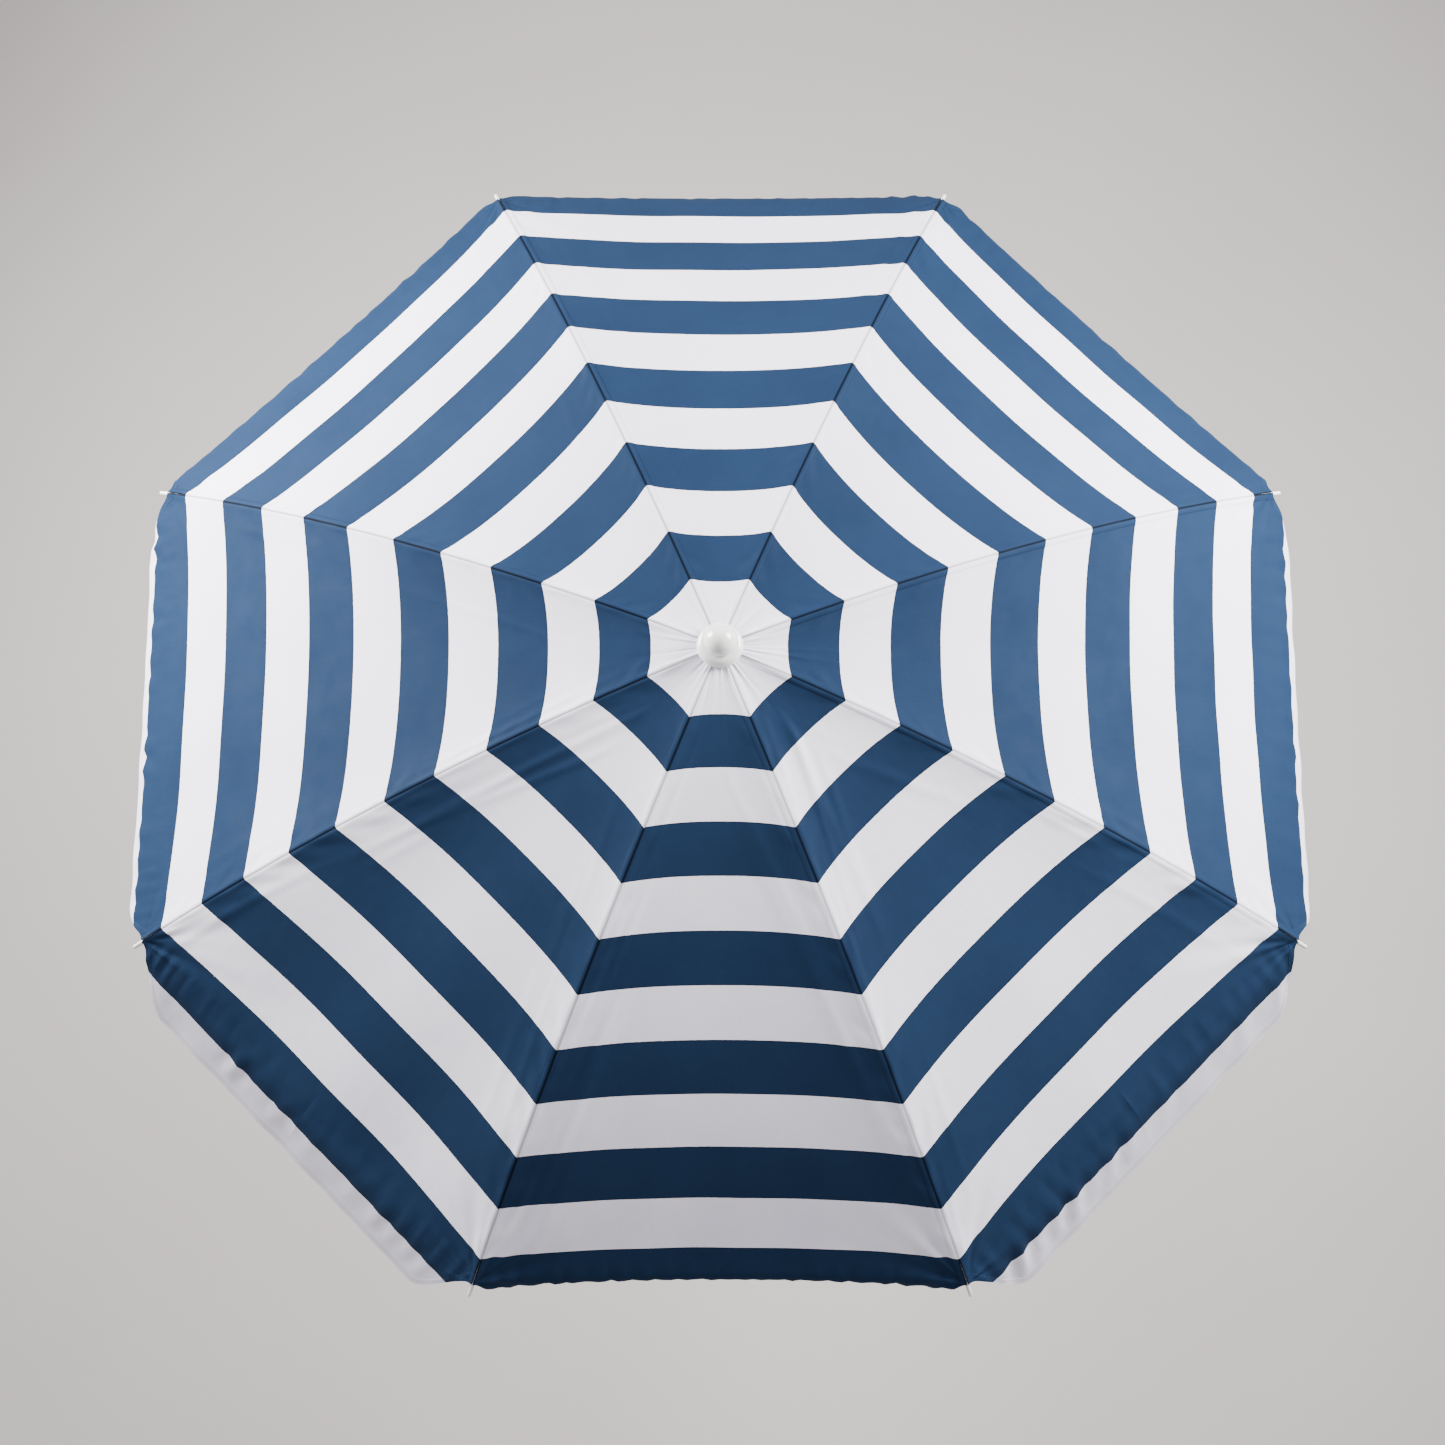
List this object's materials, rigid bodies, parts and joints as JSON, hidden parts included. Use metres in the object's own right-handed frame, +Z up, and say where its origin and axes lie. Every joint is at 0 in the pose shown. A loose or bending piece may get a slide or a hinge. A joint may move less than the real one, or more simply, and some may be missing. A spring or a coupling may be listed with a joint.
{
  "type": "beach umbrella",
  "caption": "Folding beach umbrella with a striped fabric canopy on bent ribs, a sliding runner, a tilt joint, a height clamp and a sand spike.",
  "frame": {"origin": "tip of the sand spike, on the pole's axis", "axes": "+Z up the pole, +X and +Y through the middles of two neighbouring-but-one gores, with a rib at 22.5 degrees from +X"},
  "size_m": [1.4848, 1.4848, 1.8444],
  "materials": {
    "fabric_blue": "satin woven polyester, navy blue and white bands",
    "fabric_white": "satin woven polyester, white",
    "white_plastic": "glossy moulded plastic",
    "matte_white_plastic": "moulded plastic with a light grain",
    "white_paint": "powder coat",
    "rib_steel": "white enamel over spring steel",
    "plated_steel": "zinc plated"
  },
  "bodies": {
    "root": {"ground_spike": "matte_white_plastic", "lower_pole": "white_paint", "pole_collar": "matte_white_plastic"},
    "clamp_screw": {"clamp_screw": "matte_white_plastic"},
    "mast": {"upper_pole": "white_paint", "tilt_lower_bracket": "matte_white_plastic", "tilt_pin": "plated_steel", "tilt_spring": "plated_steel"},
    "tilt_button": {"tilt_button": "white_plastic"},
    "canopy_pole": {"canopy_pole": "white_paint", "tilt_upper_bracket": "matte_white_plastic", "crown_hub": "matte_white_plastic", "crown_ring": "plated_steel", "canopy_crown": "fabric_white", "finial_cap": "white_plastic", "finial_stud": "plated_steel"},
    "runner": {"runner": "matte_white_plastic", "runner_ring": "plated_steel", "release_spring": "plated_steel"},
    "release_button": {"release_button": "white_plastic"},
    "rib_1": {"rib_1": "rib_steel", "rib_tip_1": "white_plastic"},
    "stretcher_1": {"stretcher_1": "rib_steel"},
    "rib_2": {"rib_2": "rib_steel", "rib_tip_2": "white_plastic"},
    "stretcher_2": {"stretcher_2": "rib_steel"},
    "rib_3": {"rib_3": "rib_steel", "rib_tip_3": "white_plastic"},
    "stretcher_3": {"stretcher_3": "rib_steel"},
    "rib_4": {"rib_4": "rib_steel", "rib_tip_4": "white_plastic"},
    "stretcher_4": {"stretcher_4": "rib_steel"},
    "rib_5": {"rib_5": "rib_steel", "rib_tip_5": "white_plastic"},
    "stretcher_5": {"stretcher_5": "rib_steel"},
    "rib_6": {"rib_6": "rib_steel", "rib_tip_6": "white_plastic"},
    "stretcher_6": {"stretcher_6": "rib_steel"},
    "rib_7": {"rib_7": "rib_steel", "rib_tip_7": "white_plastic"},
    "stretcher_7": {"stretcher_7": "rib_steel"},
    "rib_8": {"rib_8": "rib_steel", "rib_tip_8": "white_plastic"},
    "stretcher_8": {"stretcher_8": "rib_steel"},
    "pleat_1_left": {"gore_1_left": "fabric_blue"},
    "pleat_1_right": {"gore_1_right": "fabric_blue"},
    "pleat_2_left": {"gore_2_left": "fabric_blue"},
    "pleat_2_right": {"gore_2_right": "fabric_blue"},
    "pleat_3_left": {"gore_3_left": "fabric_blue"},
    "pleat_3_right": {"gore_3_right": "fabric_blue"},
    "pleat_4_left": {"gore_4_left": "fabric_blue"},
    "pleat_4_right": {"gore_4_right": "fabric_blue"},
    "pleat_5_left": {"gore_5_left": "fabric_blue"},
    "pleat_5_right": {"gore_5_right": "fabric_blue"},
    "pleat_6_left": {"gore_6_left": "fabric_blue"},
    "pleat_6_right": {"gore_6_right": "fabric_blue"},
    "pleat_7_left": {"gore_7_left": "fabric_blue"},
    "pleat_7_right": {"gore_7_right": "fabric_blue"},
    "pleat_8_left": {"gore_8_left": "fabric_blue"},
    "pleat_8_right": {"gore_8_right": "fabric_blue"}
  },
  "joints": [
    {"name": "clamp_turn", "type": "hinge", "parent": "root", "child": "clamp_screw", "pos_m": [0.02, 0, 0.788], "axis": [1, 0, 0], "range_deg": [0, 180]},
    {"name": "height", "type": "slide", "parent": "root", "child": "mast", "axis": [0, 0, 1], "range_m": [-0.05, 0.2]},
    {"name": "tilt_release", "type": "slide", "parent": "mast", "child": "tilt_button", "axis": [0, 1, 0], "range_m": [0, 0.004], "stiffness_N_per_m": 300, "springref_m": -0.003, "deforming": ["tilt_spring"]},
    {"name": "tilt", "type": "hinge", "parent": "mast", "child": "canopy_pole", "pos_m": [0, 0, 0.915], "axis": [1, 0, 0], "range_deg": [0, 35]},
    {"name": "fold", "type": "slide", "parent": "canopy_pole", "child": "runner", "axis": [0, 0, -1], "range_m": [0, 0.38879], "deforming": ["gore_1_left", "gore_1_right", "gore_2_left", "gore_2_right", "gore_3_left", "gore_3_right", "gore_4_left", "gore_4_right", "gore_5_left", "gore_5_right", "gore_6_left", "gore_6_right", "gore_7_left", "gore_7_right", "gore_8_left", "gore_8_right"]},
    {"name": "release", "type": "slide", "parent": "runner", "child": "release_button", "axis": [-1, 0, 0], "range_m": [0, 0.004], "stiffness_N_per_m": 300, "springref_m": -0.003, "deforming": ["release_spring"]},
    {"name": "rib_1_fold", "type": "hinge", "parent": "canopy_pole", "child": "rib_1", "pos_m": [0.01848, 0.00765, 1.8], "axis": [-0.3827, 0.9239, 0], "range_deg": [-0.5, 68.5]},
    {"name": "stretcher_1_fold", "type": "hinge", "parent": "rib_1", "child": "stretcher_1", "pos_m": [0.28094, 0.11637, 1.74688], "axis": [0.3827, -0.9239, 0], "range_deg": [-0.5, 118.1]},
    {"name": "rib_2_fold", "type": "hinge", "parent": "canopy_pole", "child": "rib_2", "pos_m": [0.00765, 0.01848, 1.8], "axis": [-0.9239, 0.3827, 0], "range_deg": [-0.5, 68.5]},
    {"name": "stretcher_2_fold", "type": "hinge", "parent": "rib_2", "child": "stretcher_2", "pos_m": [0.11637, 0.28094, 1.74688], "axis": [0.9239, -0.3827, 0], "range_deg": [-0.5, 118.1]},
    {"name": "rib_3_fold", "type": "hinge", "parent": "canopy_pole", "child": "rib_3", "pos_m": [-0.00765, 0.01848, 1.8], "axis": [-0.9239, -0.3827, 0], "range_deg": [-0.5, 68.5]},
    {"name": "stretcher_3_fold", "type": "hinge", "parent": "rib_3", "child": "stretcher_3", "pos_m": [-0.11637, 0.28094, 1.74688], "axis": [0.9239, 0.3827, 0], "range_deg": [-0.5, 118.1]},
    {"name": "rib_4_fold", "type": "hinge", "parent": "canopy_pole", "child": "rib_4", "pos_m": [-0.01848, 0.00765, 1.8], "axis": [-0.3827, -0.9239, 0], "range_deg": [-0.5, 68.5]},
    {"name": "stretcher_4_fold", "type": "hinge", "parent": "rib_4", "child": "stretcher_4", "pos_m": [-0.28094, 0.11637, 1.74688], "axis": [0.3827, 0.9239, 0], "range_deg": [-0.5, 118.1]},
    {"name": "rib_5_fold", "type": "hinge", "parent": "canopy_pole", "child": "rib_5", "pos_m": [-0.01848, -0.00765, 1.8], "axis": [0.3827, -0.9239, 0], "range_deg": [-0.5, 68.5]},
    {"name": "stretcher_5_fold", "type": "hinge", "parent": "rib_5", "child": "stretcher_5", "pos_m": [-0.28094, -0.11637, 1.74688], "axis": [-0.3827, 0.9239, 0], "range_deg": [-0.5, 118.1]},
    {"name": "rib_6_fold", "type": "hinge", "parent": "canopy_pole", "child": "rib_6", "pos_m": [-0.00765, -0.01848, 1.8], "axis": [0.9239, -0.3827, 0], "range_deg": [-0.5, 68.5]},
    {"name": "stretcher_6_fold", "type": "hinge", "parent": "rib_6", "child": "stretcher_6", "pos_m": [-0.11637, -0.28094, 1.74688], "axis": [-0.9239, 0.3827, 0], "range_deg": [-0.5, 118.1]},
    {"name": "rib_7_fold", "type": "hinge", "parent": "canopy_pole", "child": "rib_7", "pos_m": [0.00765, -0.01848, 1.8], "axis": [0.9239, 0.3827, 0], "range_deg": [-0.5, 68.5]},
    {"name": "stretcher_7_fold", "type": "hinge", "parent": "rib_7", "child": "stretcher_7", "pos_m": [0.11637, -0.28094, 1.74688], "axis": [-0.9239, -0.3827, 0], "range_deg": [-0.5, 118.1]},
    {"name": "rib_8_fold", "type": "hinge", "parent": "canopy_pole", "child": "rib_8", "pos_m": [0.01848, -0.00765, 1.8], "axis": [0.3827, 0.9239, 0], "range_deg": [-0.5, 68.5]},
    {"name": "stretcher_8_fold", "type": "hinge", "parent": "rib_8", "child": "stretcher_8", "pos_m": [0.28094, -0.11637, 1.74688], "axis": [-0.3827, -0.9239, 0], "range_deg": [-0.5, 118.1]},
    {"name": "pleat_1_left_fold", "type": "hinge", "parent": "rib_8", "child": "pleat_1_left", "pos_m": [0.02165, 0, 1.8], "axis": [-0.7195, -0.6334, -0.2849], "range_deg": [-0.5, 32.61]},
    {"name": "pleat_1_right_fold", "type": "hinge", "parent": "rib_1", "child": "pleat_1_right", "pos_m": [0.02165, 0, 1.8], "axis": [0.7195, -0.6334, 0.2849], "range_deg": [-0.5, 32.61]},
    {"name": "pleat_2_left_fold", "type": "hinge", "parent": "rib_1", "child": "pleat_2_left", "pos_m": [0.01531, 0.01531, 1.8], "axis": [-0.0609, -0.9566, -0.2849], "range_deg": [-0.5, 32.61]},
    {"name": "pleat_2_right_fold", "type": "hinge", "parent": "rib_2", "child": "pleat_2_right", "pos_m": [0.01531, 0.01531, 1.8], "axis": [0.9566, 0.0609, 0.2849], "range_deg": [-0.5, 32.61]},
    {"name": "pleat_3_left_fold", "type": "hinge", "parent": "rib_2", "child": "pleat_3_left", "pos_m": [0, 0.02165, 1.8], "axis": [0.6334, -0.7195, -0.2849], "range_deg": [-0.5, 32.61]},
    {"name": "pleat_3_right_fold", "type": "hinge", "parent": "rib_3", "child": "pleat_3_right", "pos_m": [0, 0.02165, 1.8], "axis": [0.6334, 0.7195, 0.2849], "range_deg": [-0.5, 32.61]},
    {"name": "pleat_4_left_fold", "type": "hinge", "parent": "rib_3", "child": "pleat_4_left", "pos_m": [-0.01531, 0.01531, 1.8], "axis": [0.9566, -0.0609, -0.2849], "range_deg": [-0.5, 32.61]},
    {"name": "pleat_4_right_fold", "type": "hinge", "parent": "rib_4", "child": "pleat_4_right", "pos_m": [-0.01531, 0.01531, 1.8], "axis": [-0.0609, 0.9566, 0.2849], "range_deg": [-0.5, 32.61]},
    {"name": "pleat_5_left_fold", "type": "hinge", "parent": "rib_4", "child": "pleat_5_left", "pos_m": [-0.02165, 0, 1.8], "axis": [0.7195, 0.6334, -0.2849], "range_deg": [-0.5, 32.61]},
    {"name": "pleat_5_right_fold", "type": "hinge", "parent": "rib_5", "child": "pleat_5_right", "pos_m": [-0.02165, 0, 1.8], "axis": [-0.7195, 0.6334, 0.2849], "range_deg": [-0.5, 32.61]},
    {"name": "pleat_6_left_fold", "type": "hinge", "parent": "rib_5", "child": "pleat_6_left", "pos_m": [-0.01531, -0.01531, 1.8], "axis": [0.0609, 0.9566, -0.2849], "range_deg": [-0.5, 32.61]},
    {"name": "pleat_6_right_fold", "type": "hinge", "parent": "rib_6", "child": "pleat_6_right", "pos_m": [-0.01531, -0.01531, 1.8], "axis": [-0.9566, -0.0609, 0.2849], "range_deg": [-0.5, 32.61]},
    {"name": "pleat_7_left_fold", "type": "hinge", "parent": "rib_6", "child": "pleat_7_left", "pos_m": [0, -0.02165, 1.8], "axis": [-0.6334, 0.7195, -0.2849], "range_deg": [-0.5, 32.61]},
    {"name": "pleat_7_right_fold", "type": "hinge", "parent": "rib_7", "child": "pleat_7_right", "pos_m": [0, -0.02165, 1.8], "axis": [-0.6334, -0.7195, 0.2849], "range_deg": [-0.5, 32.61]},
    {"name": "pleat_8_left_fold", "type": "hinge", "parent": "rib_7", "child": "pleat_8_left", "pos_m": [0.01531, -0.01531, 1.8], "axis": [-0.9566, 0.0609, -0.2849], "range_deg": [-0.5, 32.61]},
    {"name": "pleat_8_right_fold", "type": "hinge", "parent": "rib_8", "child": "pleat_8_right", "pos_m": [0.01531, -0.01531, 1.8], "axis": [0.0609, -0.9566, 0.2849], "range_deg": [-0.5, 32.61]}
  ],
  "couplings": [
    {"joint": "rib_1_fold", "follows": "fold", "rad_per_m": 3.0526},
    {"joint": "stretcher_1_fold", "follows": "fold", "rad_per_m": 5.2794},
    {"joint": "rib_2_fold", "follows": "fold", "rad_per_m": 3.0526},
    {"joint": "stretcher_2_fold", "follows": "fold", "rad_per_m": 5.2794},
    {"joint": "rib_3_fold", "follows": "fold", "rad_per_m": 3.0526},
    {"joint": "stretcher_3_fold", "follows": "fold", "rad_per_m": 5.2794},
    {"joint": "rib_4_fold", "follows": "fold", "rad_per_m": 3.0526},
    {"joint": "stretcher_4_fold", "follows": "fold", "rad_per_m": 5.2794},
    {"joint": "rib_5_fold", "follows": "fold", "rad_per_m": 3.0526},
    {"joint": "stretcher_5_fold", "follows": "fold", "rad_per_m": 5.2794},
    {"joint": "rib_6_fold", "follows": "fold", "rad_per_m": 3.0526},
    {"joint": "stretcher_6_fold", "follows": "fold", "rad_per_m": 5.2794},
    {"joint": "rib_7_fold", "follows": "fold", "rad_per_m": 3.0526},
    {"joint": "stretcher_7_fold", "follows": "fold", "rad_per_m": 5.2794},
    {"joint": "rib_8_fold", "follows": "fold", "rad_per_m": 3.0526},
    {"joint": "stretcher_8_fold", "follows": "fold", "rad_per_m": 5.2794},
    {"joint": "pleat_1_left_fold", "follows": "fold", "rad_per_m": 1.4413},
    {"joint": "pleat_1_right_fold", "follows": "fold", "rad_per_m": 1.4413},
    {"joint": "pleat_2_left_fold", "follows": "fold", "rad_per_m": 1.4413},
    {"joint": "pleat_2_right_fold", "follows": "fold", "rad_per_m": 1.4413},
    {"joint": "pleat_3_left_fold", "follows": "fold", "rad_per_m": 1.4413},
    {"joint": "pleat_3_right_fold", "follows": "fold", "rad_per_m": 1.4413},
    {"joint": "pleat_4_left_fold", "follows": "fold", "rad_per_m": 1.4413},
    {"joint": "pleat_4_right_fold", "follows": "fold", "rad_per_m": 1.4413},
    {"joint": "pleat_5_left_fold", "follows": "fold", "rad_per_m": 1.4413},
    {"joint": "pleat_5_right_fold", "follows": "fold", "rad_per_m": 1.4413},
    {"joint": "pleat_6_left_fold", "follows": "fold", "rad_per_m": 1.4413},
    {"joint": "pleat_6_right_fold", "follows": "fold", "rad_per_m": 1.4413},
    {"joint": "pleat_7_left_fold", "follows": "fold", "rad_per_m": 1.4413},
    {"joint": "pleat_7_right_fold", "follows": "fold", "rad_per_m": 1.4413},
    {"joint": "pleat_8_left_fold", "follows": "fold", "rad_per_m": 1.4413},
    {"joint": "pleat_8_right_fold", "follows": "fold", "rad_per_m": 1.4413}
  ]
}
